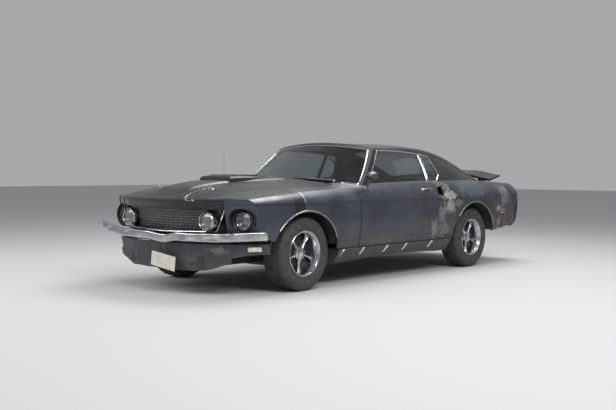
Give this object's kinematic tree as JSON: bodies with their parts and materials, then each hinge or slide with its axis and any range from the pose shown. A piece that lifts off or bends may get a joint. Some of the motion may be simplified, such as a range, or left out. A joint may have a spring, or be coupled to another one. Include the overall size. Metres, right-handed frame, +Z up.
{
  "type": "late 1960s two-door fastback muscle car",
  "caption": "Worn two-door fastback muscle car with separate panels, a hollow cabin, opening doors and lids, steered front wheels and rolling five-spoke wheels.",
  "frame": {"origin": "on the floor under the middle of the car's length and width", "axes": "+X forward, +Y to the car's left, +Z up"},
  "size_m": [4.7576, 1.8488, 1.3141],
  "materials": {
    "paint": "worn metallic",
    "black_paint": "satin",
    "chrome": "worn",
    "clear_glass": "clear",
    "lamp_glass": "pressed",
    "red_lens": "gloss",
    "tyre": "matt",
    "wheel": "worn bright",
    "steel": "dirty",
    "underbody": "dirty",
    "trim": "grained",
    "upholstery": "grained vinyl",
    "plate_white": "faded"
  },
  "bodies": {
    "chassis": {"cowl": "black_paint", "dashboard": "trim", "drive_shaft": "steel", "engine_block": "steel", "fender_left": "paint", "fender_right": "paint", "floor_pan": "underbody", "front_aprons": "underbody", "front_bumper": "chrome", "front_seats": "upholstery", "front_suspension": "steel", "front_valance": "paint", "fuel_tank": "steel", "grille": "black_paint", "headlamp_panels": "paint", "headlamps": "lamp_glass", "leaf_springs": "steel", "licence_plate": "plate_white", "quarter_glass": "clear_glass", "quarter_left": "paint", "quarter_right": "paint", "radiator_support": "underbody", "rear_axle": "steel", "rear_bumper": "chrome", "rear_seat": "upholstery", "rear_shelf": "trim", "rear_wheelhouses": "underbody", "rear_window": "clear_glass", "rocker_left": "paint", "rocker_right": "paint", "roof_shell": "black_paint", "steering_wheel": "trim", "tail_lamps": "red_lens", "tail_panel": "paint", "windshield": "clear_glass"},
    "hood": {"hood": "black_paint", "hood_scoop": "black_paint"},
    "deck_lid": {"deck_lid": "black_paint", "rear_spoiler": "black_paint"},
    "door_left": {"door_left": "paint", "door_glass_left": "clear_glass"},
    "door_right": {"door_right": "paint", "door_glass_right": "clear_glass"},
    "knuckle_left": {"knuckle_left": "steel"},
    "knuckle_right": {"knuckle_right": "steel"},
    "wheel_front_left": {"tyre_front_left": "tyre", "rim_front_left": "wheel"},
    "wheel_front_right": {"tyre_front_right": "tyre", "rim_front_right": "wheel"},
    "wheel_rear_left": {"tyre_rear_left": "tyre", "rim_rear_left": "wheel"},
    "wheel_rear_right": {"tyre_rear_right": "tyre", "rim_rear_right": "wheel"}
  },
  "joints": [
    {"name": "steer_left", "type": "hinge", "parent": "chassis", "child": "knuckle_left", "pos_m": [1.43, 0.65, 0.322], "axis": [0, 0, 1], "range_deg": [-30, 30]},
    {"name": "wheel_front_left_spin", "type": "hinge", "parent": "knuckle_left", "child": "wheel_front_left", "pos_m": [1.43, 0.743, 0.322], "axis": [0, 1, 0], "continuous": true},
    {"name": "wheel_rear_left_spin", "type": "hinge", "parent": "chassis", "child": "wheel_rear_left", "pos_m": [-1.313, 0.743, 0.322], "axis": [0, 1, 0], "continuous": true},
    {"name": "door_left_hinge", "type": "hinge", "parent": "chassis", "child": "door_left", "pos_m": [0.713, 0.903, 0.6], "axis": [0, 0, -1], "range_deg": [0, 65]},
    {"name": "steer_right", "type": "hinge", "parent": "chassis", "child": "knuckle_right", "pos_m": [1.43, -0.65, 0.322], "axis": [0, 0, 1], "range_deg": [-30, 30]},
    {"name": "wheel_front_right_spin", "type": "hinge", "parent": "knuckle_right", "child": "wheel_front_right", "pos_m": [1.43, -0.743, 0.322], "axis": [0, 1, 0], "continuous": true},
    {"name": "wheel_rear_right_spin", "type": "hinge", "parent": "chassis", "child": "wheel_rear_right", "pos_m": [-1.313, -0.743, 0.322], "axis": [0, 1, 0], "continuous": true},
    {"name": "door_right_hinge", "type": "hinge", "parent": "chassis", "child": "door_right", "pos_m": [0.713, -0.903, 0.6], "axis": [0, 0, 1], "range_deg": [0, 65]},
    {"name": "hood_hinge", "type": "hinge", "parent": "chassis", "child": "hood", "pos_m": [0.87, 0, 0.872], "axis": [0, -1, 0], "range_deg": [0, 50]},
    {"name": "deck_lid_hinge", "type": "hinge", "parent": "chassis", "child": "deck_lid", "pos_m": [-1.64, 0, 0.955], "axis": [0, 1, 0], "range_deg": [0, 50]}
  ],
  "couplings": [
    {"joint": "steer_right", "follows": "steer_left", "ratio": 1}
  ]
}
